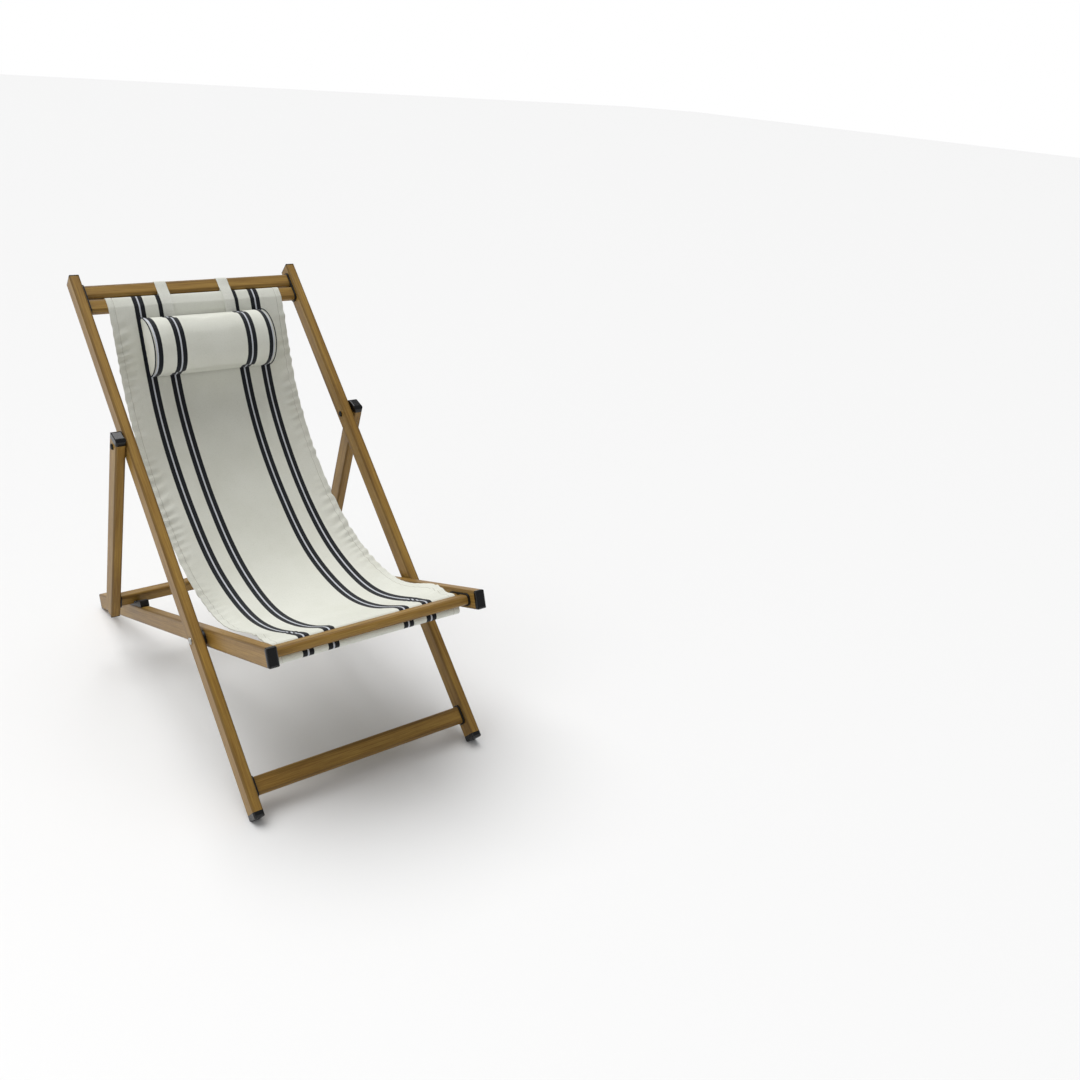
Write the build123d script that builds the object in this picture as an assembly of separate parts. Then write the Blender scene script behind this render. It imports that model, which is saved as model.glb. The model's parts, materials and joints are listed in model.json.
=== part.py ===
"""Folding sling deck chair: back frame, seat frame and strut frame with a hung cloth and a head bolster.

Millimetres, +Z up. The chair faces -Y. Everything is drawn from the seat pivot outwards and is
moved at the end so that the middle of the bounding box stands over the origin, on the floor.
"""
import os
from math import atan2, cos, degrees, radians, sin, sqrt

from build123d import *

# ---- overall sizes ---------------------------------------------------------------------------
overall_width = 580.0        # over the outer faces of the two struts
back_angle = 44.1            # slope of the back rails
seat_angle = 19.2            # slope of the seat rails, falling to the rear
foot_to_pivot = 382.0        # along a back rail, floor end to seat pivot
pivot_to_top = 866.0         # along a back rail, seat pivot to top end
pivot_to_hinge = 452.0       # along a back rail, seat pivot to strut hinge
pivot_to_front = 327.0       # along a seat rail, seat pivot to front end
hinge_to_bar = 461.0         # along a strut, hinge to cross bar

# ---- tube sections ---------------------------------------------------------------------------
rail_width = 22.0            # across the chair
rail_depth = 40.0            # the tall side of the tube
rail_wall = 1.5
rail_corner = 4.5            # outer corner radius
bar_tall = 32.0              # cross bars, along the rails they join
bar_deep = 20.0
bar_corner = 7.0
foot_bar_tall = 38.0
strut_bar_tall = 32.0
strut_bar_deep = 22.0

# ---- fits and gaps ---------------------------------------------------------------------------
strut_gap = 1.5              # between a strut and a back rail
seat_gap = 6.0               # between a back rail and a seat rail
run_gap = 0.4                # beside every face that turns against another
pin_radius = 4.0
pin_clearance = 0.05         # radial, where a rail turns on its pin
head_radius = 7.5
head_tall = 3.0
plug_gap = 0.2               # between a plug's tongue and the inside of its tube

# ---- end caps and collars --------------------------------------------------------------------
foot_cap_length = 13.0
foot_cap_round = 9.0
foot_flat = 0.8              # how much of the rounded corner the floor flat takes off
front_cap_length = 8.0
strut_cap_start = 13.0       # tube end above the hinge
strut_cap_length = 15.0
thin_plug = 3.0
rear_plug = 6.0              # rear end of a seat rail
rear_plug_round = 4.5
rear_flat = 0.5
tongue_length = 18.0
collar_thick = 4.0
collar_lip = 3.0
foot_bar_from_end = 61.6

# ---- cloth -----------------------------------------------------------------------------------
slot = 4.3                   # between the two bars that hold an end of the cloth
top_bar_from_end = 21.3
front_bar_from_end = 27.0
cloth = 1.6
cloth_gap = 0.3
cloth_half_width = 205.0
rod_radius = 8.0
hang_angle = 254.5           # direction in which the cloth leaves the top bar
reach_angle = 152.0          # direction in which it reaches the rear seat bar
hung_for = 866.0             # pivot_to_top that shoulder and lumbar are given for
shoulder = (465.0, 314.0)    # points the cloth passes, rearward and up from the seat pivot
lumbar = (321.0, 147.0)
hips = (153.0, 46.0)
lowest = (-5.0, 23.0)
lap = (-125.0, 48.0)

# ---- bolster and its straps ------------------------------------------------------------------
bolster_half_length = 147.0
bolster_tall = 142.0
bolster_deep = 74.0
bolster_from_bar = 22.0      # below the point where the cloth leaves the top bar
strap_width = 32.0
strap_centre = 71.5
strap_cloth = 1.4

# ---- notch blocks ----------------------------------------------------------------------------
notch_floor = 2.5            # plastic under the strut bar
notch_tall = 15.0            # block above the rail
notch_front = 66.0           # block ahead of the bar
notch_rear = 30.0            # block behind the bar
lip_tall = 1.2               # low enough for the bar to slide out to the rear


def ahead(line, s, n):
    """Point (y, z) at s along a line and n out of its upper face."""
    y, z, angle = line
    c, k = cos(radians(angle)), sin(radians(angle))
    return (y + s * c - n * k, z + s * k + n * c)


def on(line, s=0.0, n=0.0, x=0.0):
    """Location whose local x runs along the line, y out of its upper face, z across the chair."""
    angle = radians(line[2])
    y, z = ahead(line, s, n)
    return Plane(origin=(x, y, z), x_dir=(0, cos(angle), sin(angle)), z_dir=(1, 0, 0)).location


# ---- where the frames lie --------------------------------------------------------------------
foot_height = foot_cap_round * (1 - sin(radians(back_angle)) - cos(radians(back_angle)))
foot_height += rail_depth / 2 * cos(radians(back_angle)) - foot_flat
pivot = (0.0, foot_height + foot_to_pivot * sin(radians(back_angle)))
BACK = (pivot[0], pivot[1], back_angle)
SEAT = (pivot[0], pivot[1], -seat_angle)

rear_height = rear_plug_round * (1 - cos(radians(seat_angle)) - sin(radians(seat_angle)))
rear_height += rail_depth / 2 * cos(radians(seat_angle)) - rear_flat
pivot_to_rear = (pivot[1] - rear_height) / sin(radians(seat_angle))

hinge = ahead(BACK, pivot_to_hinge, 0)


def bar_stand(half_tall, half_deep, corner, lean):
    """Height of a rounded bar's centre over a flat that it touches while leaning."""
    a = (half_tall - corner) * abs(cos(radians(lean)))
    b = (half_deep - corner) * abs(sin(radians(lean)))
    return a + b + corner


def bar_seat(lean):
    """Distance along the seat rail, and height over it, of the strut bar at rest in its notch."""
    stand = bar_stand(strut_bar_tall / 2, strut_bar_deep / 2, bar_corner, lean)
    height = rail_depth / 2 + notch_floor + stand + run_gap
    back = hinge[0] - pivot[0], hinge[1] - pivot[1]
    along = back[0] * cos(radians(seat_angle)) - back[1] * sin(radians(seat_angle))
    over = back[0] * sin(radians(seat_angle)) + back[1] * cos(radians(seat_angle))
    return along + sqrt(hinge_to_bar ** 2 - (over - height) ** 2), height


def strut_slope(lean):
    """Slope of the struts when their bar stands in the notch at this lean."""
    y, z = ahead(SEAT, *bar_seat(lean))
    return degrees(atan2(z - hinge[1], y - hinge[0]))


bar_along, bar_over = bar_seat(90 - seat_angle - strut_slope(38.0) - 180)
bar_centre = ahead(SEAT, bar_along, bar_over)
strut_angle = degrees(atan2(bar_centre[1] - hinge[1], bar_centre[0] - hinge[0]))
STRUT = (hinge[0], hinge[1], strut_angle)

strut_x = overall_width / 2 - rail_width / 2
back_x = strut_x - rail_width - strut_gap
seat_x = back_x - rail_width - seat_gap
strut_inner = strut_x - rail_width / 2
back_inner = back_x - rail_width / 2
seat_inner = seat_x - rail_width / 2


def both(name, right):
    """The right-hand piece and its mirror image."""
    return {name + "_right": right, name + "_left": mirror(right, about=Plane.YZ)}


def rounded(length, depth, width, corner):
    """Bar along local x with its four long edges rounded."""
    bar = Box(length, depth, width)
    return fillet(bar.edges().filter_by(Axis.X), corner)


def tube(start, end):
    """Hollow rail from start to end along local x."""
    inner = rounded(end - start + 2, rail_depth - 2 * rail_wall, rail_width - 2 * rail_wall,
                    rail_corner - rail_wall)
    outer = rounded(end - start, rail_depth, rail_width, rail_corner)
    return Pos((start + end) / 2, 0, 0) * (outer - inner)


def bore(s, radius):
    """Hole straight across a rail."""
    return Pos(s, 0, 0) * Cylinder(radius, rail_width + 4)


def tongue(start, end):
    """The part of a plug that sits inside its tube."""
    return Pos((start + end) / 2, 0, 0) * rounded(
        abs(end - start), rail_depth - 2 * rail_wall - 2 * plug_gap,
        rail_width - 2 * rail_wall - 2 * plug_gap, rail_corner - rail_wall - plug_gap)


def end_profile(start, end, side, corner):
    """Flat outline of a cap seen from one side: square at the tube, rounded at its far end."""
    past = end + (end - start)
    outline = RectangleRounded(2 * abs(end - start), side, corner)
    return Pos(start, 0) * outline & Pos((start + past) / 2, 0) * Rectangle(
        abs(past - start), side + 2)


def end_block(start, end, corner, edge):
    """Visible part of a cap: rounded in side view by one radius and from above by another."""
    length = abs(end - start)
    block = Pos((start + end) / 2, 0, 0) * rounded(length, rail_depth, rail_width, rail_corner)
    side = extrude(end_profile(start, end, rail_depth, corner), amount=rail_width, both=True)
    above = extrude(end_profile(start, end, rail_width, edge), amount=rail_depth, both=True)
    return block & side & (Rot(90, 0, 0) * above)


def back_rail():
    """Back rail: foot to top, bored for the seat pivot and the strut hinge."""
    rail = tube(foot_cap_length - foot_to_pivot, pivot_to_top - thin_plug)
    rail -= bore(0, pin_radius)
    rail -= bore(pivot_to_hinge, pin_radius)
    return on(BACK, x=back_x) * rail


def foot_cap():
    """Rounded floor cap with a small flat where it stands."""
    start = foot_cap_length - foot_to_pivot
    cap = end_block(start, -foot_to_pivot, foot_cap_round, 3.0)
    cap += tongue(start - 2, start + tongue_length)
    cap = on(BACK, x=back_x) * cap
    return cap - Pos(back_x, ahead(BACK, -foot_to_pivot, 0)[0], -50) * Box(60, 200, 100)


def top_plug():
    """Thin plug closing the top of a back rail."""
    start = pivot_to_top - thin_plug
    plug = end_block(start, pivot_to_top, 1.5, 1.5) + tongue(start + 1, start - tongue_length)
    return on(BACK, x=back_x) * plug


def cross_bar(line, s, n, tall, deep, corner, half_span):
    """Hollow bar across the chair, its tall side along the line."""
    outer = fillet(Box(tall, deep, 2 * half_span).edges().filter_by(Axis.Z), corner)
    inner = Box(tall - 2 * rail_wall, deep - 2 * rail_wall, 2 * half_span + 2)
    inner = fillet(inner.edges().filter_by(Axis.Z), corner - rail_wall)
    return on(line, s, n) * (outer - inner)


def collar(line, spots, n, tall, deep, corner, face_x):
    """Moulded collar on the inner face of a rail, around the ends of one or two bars."""
    low, high = min(spots) - tall / 2 - collar_lip, max(spots) + tall / 2 + collar_lip
    plate = Box(high - low, deep + 2 * collar_lip, collar_thick)
    plate = fillet(plate.edges().filter_by(Axis.Z), corner + collar_lip - 0.5)
    plate = Pos((low + high) / 2, n, 0) * plate
    for s in spots:
        hole = fillet(Box(tall, deep, collar_thick + 2).edges().filter_by(Axis.Z), corner)
        plate -= Pos(s, n, 0) * hole
    return on(line, x=face_x - collar_thick / 2) * plate


top_low = pivot_to_top - top_bar_from_end - bar_tall * 1.5 - slot
top_high = pivot_to_top - top_bar_from_end - bar_tall / 2
front_first = front_bar_from_end + bar_tall / 2 - pivot_to_front
front_second = front_first + bar_tall + slot
foot_bar_at = foot_bar_from_end - foot_to_pivot


def rod(line, s):
    """Rod inside a hem of the cloth, behind the slot between two bars."""
    return on(line, s, -rod_below) * Cylinder(rod_radius, 2 * cloth_half_width - 6)


def pivot_bolt():
    """Headed pin through the back rail, spacer and seat rail."""
    out = back_x + rail_width / 2
    end = seat_inner - run_gap - 3.0
    pin = Pos(0, 0, (out + end) / 2) * Cylinder(pin_radius, out - end)
    head = Pos(0, 0, out + head_tall / 2) * Cylinder(head_radius, head_tall)
    head = fillet(head.edges().filter_by(GeomType.CIRCLE).sort_by(Axis.Z)[-1], 1.8)
    return on(BACK) * (pin + head)


def pivot_nut():
    """Domed nut on the inner face of the seat rail."""
    nut = Cylinder(head_radius - 1, 4.0)
    nut = fillet(nut.edges().filter_by(GeomType.CIRCLE).sort_by(Axis.Z)[0], 1.5)
    nut = Pos(0, 0, seat_inner - run_gap - 2.0) * nut
    return on(BACK) * (nut - Pos(0, 0, seat_inner) * Cylinder(pin_radius, 6.8))


def pivot_spacer():
    """Washer that fills the space between back rail and seat rail."""
    ring = Cylinder(15.0, seat_gap - run_gap) - Cylinder(pin_radius, seat_gap)
    return on(BACK, x=back_inner - (seat_gap - run_gap) / 2) * ring


def hinge_bolt():
    """Pin of the strut hinge: a head inside the back rail and a head outside the strut."""
    low = back_inner
    high = strut_x + rail_width / 2 + run_gap
    pin = Pos(0, 0, (low + high) / 2) * Cylinder(pin_radius, high - low)
    head = Cylinder(head_radius - 1, head_tall)
    outer = fillet(head.edges().filter_by(GeomType.CIRCLE).sort_by(Axis.Z)[-1], 1.5)
    inner = fillet(head.edges().filter_by(GeomType.CIRCLE).sort_by(Axis.Z)[0], 1.5)
    pin += Pos(0, 0, high + head_tall / 2) * outer
    pin += Pos(0, 0, low - head_tall / 2) * inner
    return on(BACK, pivot_to_hinge) * pin


def hinge_washer():
    """Thin washer between back rail and strut."""
    ring = Cylinder(12.0, strut_gap - run_gap) - Cylinder(pin_radius, 4)
    x = back_x + rail_width / 2 + (strut_gap - run_gap) / 2
    return on(BACK, pivot_to_hinge, x=x) * ring


def seat_rail():
    """Seat rail: front cap to rear end, turning on the seat pivot."""
    rail = tube(front_cap_length - pivot_to_front, pivot_to_rear - rear_plug)
    return on(SEAT, x=seat_x) * (rail - bore(0, pin_radius + pin_clearance))


def seat_cap():
    """Black cap on the front end of a seat rail."""
    start = front_cap_length - pivot_to_front
    cap = end_block(start, -pivot_to_front, 5.0, 4.0) + tongue(start - 2, start + tongue_length)
    return on(SEAT, x=seat_x) * cap


def seat_plug():
    """Rear plug of a seat rail, with a small flat where it stands on the floor."""
    start = pivot_to_rear - rear_plug
    plug = end_block(start, pivot_to_rear, rear_plug_round, 2.5)
    plug += tongue(start + 1, start - tongue_length)
    plug = on(SEAT, x=seat_x) * plug
    return plug - Pos(seat_x, ahead(SEAT, pivot_to_rear, 0)[0], -50) * Box(60, 200, 100)


def notch_block():
    """Moulded block on a seat rail that holds the strut bar; low behind, so the bar slides out."""
    base = rail_depth / 2
    front, rear = bar_along - notch_front, bar_along + notch_rear
    floor = base + notch_floor
    profile = Polyline(
        (front, base), (front, base + notch_tall), (front + 18, base + notch_tall),
        (front + 38, floor + 5), (bar_along - 20, floor + 5), (bar_along - 17, floor + 8),
        (bar_along - 9, floor), (bar_along + 12, floor),
        (bar_along + 14, floor + lip_tall), (rear, base + 1.5), (rear, base), close=True)
    block = extrude(make_face(profile), amount=rail_width / 2 - 1, both=True)
    return on(SEAT, x=seat_x) * block


def strut():
    """Strut from its domed cap to below the cross bar, turning on the hinge pin."""
    rail = tube(-strut_cap_start, hinge_to_bar + 35.0 - thin_plug)
    return on(STRUT, x=strut_x) * (rail - bore(0, pin_radius + pin_clearance))


def strut_cap():
    """Domed black cap on top of a strut."""
    cap = end_block(-strut_cap_start, -strut_cap_start - strut_cap_length, 11.0, 3.0)
    cap += tongue(-strut_cap_start - 2, -pin_radius - 1.5)
    return on(STRUT, x=strut_x) * cap


def strut_plug():
    """Thin plug in the lower end of a strut."""
    start = hinge_to_bar + 35.0 - thin_plug
    plug = end_block(start, start + thin_plug, 1.5, 1.5)
    return on(STRUT, x=strut_x) * (plug + tongue(start + 1, start - 10.0))


def arc_strip(line, s, n, radius, thick, start, turn):
    """Piece of cloth bent around a bar's corner: a ring sector in side view."""
    sector = Circle(radius + thick / 2) - Circle(radius - thick / 2)
    reach = 4 * radius
    angles = [start + turn * k / 4 for k in range(5)]
    fan = [(0, 0)] + [(reach * cos(radians(a)), reach * sin(radians(a))) for a in angles]
    return on(line, s, n) * extrude(sector & make_face(Polyline(fan, close=True)),
                                    amount=cloth_half_width, both=True)


def flat_strip(line, s0, n0, s1, n1, thick, half):
    """Straight piece of cloth between two points given on a line, in side view."""
    length = sqrt((s1 - s0) ** 2 + (n1 - n0) ** 2)
    lean = degrees(atan2(n1 - n0, s1 - s0))
    piece = Rot(0, 0, lean) * Box(length, thick, 2 * half)
    return on(line) * (Pos((s0 + s1) / 2, (n0 + n1) / 2, 0) * piece)


def hem(line, s):
    """Hem of the cloth around its rod."""
    outer = rod_radius + cloth_gap + cloth
    ring = Cylinder(outer, 2 * cloth_half_width) - Cylinder(outer - cloth, 2 * cloth_half_width)
    return on(line, s, -rod_below) * ring


rod_below = bar_deep / 2 + 2 * cloth_gap + cloth + rod_radius   # rod centre behind the bars
wrap = cloth_gap + cloth / 2             # middle of the cloth off a bar's face
bend = bar_corner + wrap                 # middle of the cloth around a bar's corner
face_n = bar_deep / 2 + wrap
corner_n = bar_deep / 2 - bar_corner
top_slot_s = top_low + bar_tall / 2 + wrap
front_slot_s = front_second - bar_tall / 2 - wrap
leave_s = top_low - bar_tall / 2 + bar_corner
lap_s = front_second + bar_tall / 2 - bar_corner


def off_corner(line, s, direction):
    """Point where the cloth, hung in this direction, touches the corner of a bar at s."""
    y, z = ahead(line, s, corner_n)
    return (y + bend * sin(radians(direction)), z - bend * cos(radians(direction)))


def hung_curve():
    """Middle line of the cloth from the lower top bar to the rear seat bar, in side view."""
    points = [off_corner(BACK, leave_s, hang_angle)]
    for y, z in (shoulder, lumbar):
        points.append((pivot[0] + y * pivot_to_top / hung_for,
                       pivot[1] + z * pivot_to_top / hung_for))
    for y, z in (hips, lowest, lap):
        points.append((pivot[0] + y, pivot[1] + z))
    points.append(off_corner(SEAT, lap_s, reach_angle))
    h, e = radians(hang_angle), radians(reach_angle)
    return Spline(*points, tangents=[(cos(h), sin(h)), (cos(e), sin(e))])


def hung_part():
    """The cloth between the two pairs of bars, as two offset curves joined and drawn across."""
    middle = hung_curve()
    sides = ([], [])
    for k in range(25):
        p, t = middle @ (k / 24), middle % (k / 24)
        sides[0].append((p.X - t.Y * cloth / 2, p.Y + t.X * cloth / 2))
        sides[1].append((p.X + t.Y * cloth / 2, p.Y - t.X * cloth / 2))
    first, last = middle % 0, middle % 1
    ends = [(first.X, first.Y), (last.X, last.Y)]
    a, b = Spline(*sides[0], tangents=ends), Spline(*sides[1], tangents=ends)
    face = make_face([a, b, Line(a @ 0, b @ 0), Line(a @ 1, b @ 1)])
    return on((0, 0, 0)) * extrude(face, amount=cloth_half_width, both=True)


def sling():
    """Whole cloth: both hems, both passes through the slots, both wraps and the hung part."""
    turn_s = front_second - bar_tall / 2 + bar_corner
    half = cloth_half_width
    hem_n = -rod_below + rod_radius + cloth_gap + cloth / 2
    whole = hung_part()
    whole += flat_strip(BACK, leave_s, face_n, top_low + bar_tall / 2 - bar_corner, face_n,
                        cloth, half)
    whole += arc_strip(BACK, leave_s, corner_n, bend, cloth, 90, hang_angle - 180 - back_angle)
    whole += arc_strip(BACK, top_low + bar_tall / 2 - bar_corner, corner_n, bend, cloth, 0, 90)
    whole += flat_strip(BACK, top_slot_s, hem_n, top_slot_s, corner_n, cloth, half)
    whole += hem(BACK, top_slot_s)
    whole += arc_strip(SEAT, lap_s, corner_n, bend, cloth, reach_angle + seat_angle - 90,
                       180 - seat_angle - reach_angle)
    whole += flat_strip(SEAT, lap_s, face_n, turn_s, face_n, cloth, half)
    whole += arc_strip(SEAT, turn_s, corner_n, bend, cloth, 90, 90)
    whole += flat_strip(SEAT, front_slot_s, hem_n, front_slot_s, corner_n, cloth, half)
    whole += hem(SEAT, front_slot_s)
    return whole


def cloth_chord(start, end):
    """Line through two points of the hung cloth; its upper face is the rear one."""
    middle = hung_curve()
    a = middle.position_at(start, PositionMode.LENGTH)
    b = middle.position_at(end, PositionMode.LENGTH)
    return (a.X, a.Y, degrees(atan2(b.Y - a.Y, b.X - a.X)))


def bolster():
    """Half-round head cushion lying on the front of the hung cloth."""
    off = -(cloth / 2 + strap_cloth + 3 * cloth_gap)
    half = bolster_tall / 2
    side = Ellipse(half, bolster_deep) & Pos(0, -200) * Rectangle(400, 400)
    body = extrude(side, amount=bolster_half_length, both=True)
    chord = cloth_chord(bolster_from_bar, bolster_from_bar + bolster_tall)
    return on(chord, half, off) * body


def strap():
    """Strap looped over the upper bar, its tail running down in front of the cloth to the bolster."""
    x = strap_centre
    wide, thick = strap_width, strap_cloth
    ring = fillet(Box(bar_tall + 2 * cloth_gap + 2 * thick, bar_deep + 2 * cloth_gap + 2 * thick,
                      wide).edges().filter_by(Axis.Z), bar_corner + cloth_gap + thick)
    hole = fillet(Box(bar_tall + 2 * cloth_gap, bar_deep + 2 * cloth_gap,
                      wide + 2).edges().filter_by(Axis.Z), bar_corner + cloth_gap)
    loop = on(BACK, top_high, x=x) * (ring - hole)
    n = bar_deep / 2 + cloth_gap + thick / 2
    over = face_n + cloth / 2 + cloth_gap + thick / 2
    high = top_high - 6
    low = top_low + bar_tall / 2 - bar_corner
    tail = on(BACK, x=x) * (Pos((high + leave_s) / 2, over, 0) * Box(high - leave_s, thick, wide))
    bridge = on(BACK, x=x) * (Pos(high, (n + over) / 2, 0) * Box(thick * 4, over - n, wide))
    end = bolster_from_bar + 6
    down = -(cloth / 2 + cloth_gap + thick / 2)
    hang = (*off_corner(BACK, leave_s, hang_angle), hang_angle)
    patch = on(hang, x=x) * (Pos(end / 2, down, 0) * Box(end, thick, wide))
    sector = Circle(over - corner_n + thick / 2) - Circle(over - corner_n - thick / 2)
    turn = hang_angle - 180 - back_angle
    fan = Polyline((0, 0), (0, 80), (-80 * sin(radians(turn)), 80 * cos(radians(turn))), close=True)
    knee = on(BACK, leave_s, corner_n, x) * extrude(sector & make_face(fan),
                                                   amount=wide / 2, both=True)
    return loop + bridge + tail + knee + patch


def everything():
    """All pieces, each under the name of its node."""
    top, front = [top_low, top_high], [front_first, front_second]
    bar = (bar_tall, bar_deep, bar_corner)
    pieces = {}
    pieces |= both("back_rail", back_rail())
    pieces |= both("foot_cap", foot_cap())
    pieces |= both("top_plug", top_plug())
    pieces["top_bar_upper"] = cross_bar(BACK, top_high, 0, *bar, back_inner)
    pieces["top_bar_lower"] = cross_bar(BACK, top_low, 0, *bar, back_inner)
    pieces |= both("top_collar", collar(BACK, top, 0, *bar, back_inner))
    pieces["foot_bar"] = cross_bar(BACK, foot_bar_at, 0, foot_bar_tall, bar_deep, bar_corner,
                                   back_inner)
    pieces |= both("foot_collar", collar(BACK, [foot_bar_at], 0, foot_bar_tall, bar_deep,
                                         bar_corner, back_inner))
    pieces["top_rod"] = rod(BACK, top_slot_s)
    pieces |= both("pivot_bolt", pivot_bolt())
    pieces |= both("pivot_nut", pivot_nut())
    pieces |= both("pivot_spacer", pivot_spacer())
    pieces |= both("hinge_bolt", hinge_bolt())
    pieces |= both("hinge_washer", hinge_washer())
    pieces["sling"] = sling()
    pieces["bolster"] = bolster()
    pieces |= both("bolster_strap", strap())
    pieces |= both("seat_rail", seat_rail())
    pieces |= both("seat_cap", seat_cap())
    pieces |= both("seat_plug", seat_plug())
    pieces["seat_bar_front"] = cross_bar(SEAT, front_first, 0, *bar, seat_inner)
    pieces["seat_bar_rear"] = cross_bar(SEAT, front_second, 0, *bar, seat_inner)
    pieces |= both("seat_collar", collar(SEAT, front, 0, *bar, seat_inner))
    pieces["seat_rod"] = rod(SEAT, front_slot_s)
    pieces |= both("notch_block", notch_block())
    pieces |= both("strut", strut())
    pieces |= both("strut_cap", strut_cap())
    pieces |= both("strut_plug", strut_plug())
    pieces["strut_bar"] = cross_bar(STRUT, hinge_to_bar, 0, strut_bar_tall, strut_bar_deep,
                                    bar_corner, strut_inner)
    pieces |= both("strut_collar", collar(STRUT, [hinge_to_bar], 0, strut_bar_tall,
                                          strut_bar_deep, bar_corner, strut_inner))
    return pieces


os.makedirs("parts", exist_ok=True)
pieces = everything()
boxes = [piece.bounding_box() for piece in pieces.values()]
low_y, high_y = min(b.min.Y for b in boxes), max(b.max.Y for b in boxes)
low_z = min(b.min.Z for b in boxes)
home = Pos(0, -(low_y + high_y) / 2, -low_z)
for name, piece in pieces.items():
    export_step(home * piece, f"parts/{name}.step")
shift_y, shift_z = -(low_y + high_y) / 2, -low_z
print("pivot", round(pivot[0] + shift_y, 3), round(pivot[1] + shift_z, 3))
print("hinge", round(hinge[0] + shift_y, 3), round(hinge[1] + shift_z, 3))
print("bar", round(bar_centre[0] + shift_y, 3), round(bar_centre[1] + shift_z, 3))
print("shift", round(shift_y, 3), round(shift_z, 3), "strut angle", round(strut_angle, 3))
print("bar along", round(bar_along, 2), "over", round(bar_over, 2), "rear", round(pivot_to_rear, 2))
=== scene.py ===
import json
import math
import random

import bpy
from mathutils import Matrix, Vector


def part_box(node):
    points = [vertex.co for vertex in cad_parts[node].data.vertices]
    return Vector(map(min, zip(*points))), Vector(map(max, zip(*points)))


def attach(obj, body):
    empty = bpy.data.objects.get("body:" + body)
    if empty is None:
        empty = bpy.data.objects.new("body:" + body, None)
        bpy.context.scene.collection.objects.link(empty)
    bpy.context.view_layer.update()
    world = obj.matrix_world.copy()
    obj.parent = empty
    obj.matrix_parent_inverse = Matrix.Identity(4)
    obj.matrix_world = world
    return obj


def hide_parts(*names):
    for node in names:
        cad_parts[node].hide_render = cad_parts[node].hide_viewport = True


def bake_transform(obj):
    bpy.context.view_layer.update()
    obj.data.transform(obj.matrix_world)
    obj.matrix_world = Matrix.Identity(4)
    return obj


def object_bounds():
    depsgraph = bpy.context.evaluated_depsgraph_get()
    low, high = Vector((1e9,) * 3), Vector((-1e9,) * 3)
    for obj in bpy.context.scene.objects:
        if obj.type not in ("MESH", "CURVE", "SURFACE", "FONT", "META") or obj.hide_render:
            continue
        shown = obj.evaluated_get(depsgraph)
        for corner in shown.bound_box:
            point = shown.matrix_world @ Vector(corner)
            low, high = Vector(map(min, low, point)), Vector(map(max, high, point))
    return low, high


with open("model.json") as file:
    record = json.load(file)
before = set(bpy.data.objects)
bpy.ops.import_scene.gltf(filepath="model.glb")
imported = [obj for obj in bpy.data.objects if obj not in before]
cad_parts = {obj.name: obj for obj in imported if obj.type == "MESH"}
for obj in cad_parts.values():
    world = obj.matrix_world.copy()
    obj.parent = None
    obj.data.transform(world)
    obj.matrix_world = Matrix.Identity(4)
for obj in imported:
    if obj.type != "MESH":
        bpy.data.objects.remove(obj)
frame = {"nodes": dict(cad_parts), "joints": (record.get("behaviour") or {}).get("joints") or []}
cad_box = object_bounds()
nodes = frame["nodes"]

# ---------------------------------------------------------------------------------------------
# The rails: rounded rectangular aluminium tube under a printed olive-brown grain. The grain runs
# along each tube, so each direction of tube has its own finish, with painted shade along the
# long edges. Plugs and caps hide the tube ends.
# ---------------------------------------------------------------------------------------------
seat_pin = Vector(next(j["pos_m"] for j in frame["joints"] if j["name"] == "seat_fold"))
strut_pin = Vector(next(j["pos_m"] for j in frame["joints"] if j["name"] == "strut_fold"))
back_slope = math.atan2(strut_pin.z - seat_pin.z, strut_pin.y - seat_pin.y)
seat_slope = math.radians(-19.2)
strut_slope = math.radians(-71.42)


def dye(code):
    """A colour given as six hexadecimal digits, as the linear colour that shaders use."""
    parts = [int(code[i:i + 2], 16) / 255 for i in (0, 2, 4)]
    return tuple(p / 12.92 if p <= 0.04045 else ((p + 0.055) / 1.055) ** 2.4 for p in parts) + (1,)


class Amount:
    """One output of a node; sums, products and comparisons of amounts add Math nodes."""

    def __init__(self, finish, socket):
        self.finish = finish
        self.socket = socket

    def maths(self, operation, *values):
        return self.finish.node("ShaderNodeMath", {"operation": operation}, *values)

    def __add__(self, other):
        return self.maths("ADD", self, other)

    def __sub__(self, other):
        return self.maths("SUBTRACT", self, other)

    def __mul__(self, other):
        return self.maths("MULTIPLY", self, other)

    def __lt__(self, other):
        return self.maths("LESS_THAN", self, other)

    def __gt__(self, other):
        return self.maths("GREATER_THAN", self, other)

    def __radd__(self, other):
        return self.maths("ADD", other, self)

    def __rsub__(self, other):
        return self.maths("SUBTRACT", other, self)

    def __rmul__(self, other):
        return self.maths("MULTIPLY", other, self)

    def __abs__(self):
        return self.maths("ABSOLUTE", self)

    def sine(self):
        return self.maths("SINE", self)

    def limited(self):
        return self.maths("MAXIMUM", self.maths("MINIMUM", self, 1.0), 0.0)

    def remainder(self, size):
        return self.maths("FLOORED_MODULO", self, size)

    def eased(self, low, high):
        """0 below low, 1 above high and a smooth step between them."""
        return self.finish.node("ShaderNodeMapRange", {"interpolation_type": "SMOOTHSTEP"},
                                self, low, high, 0.0, 1.0)


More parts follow.
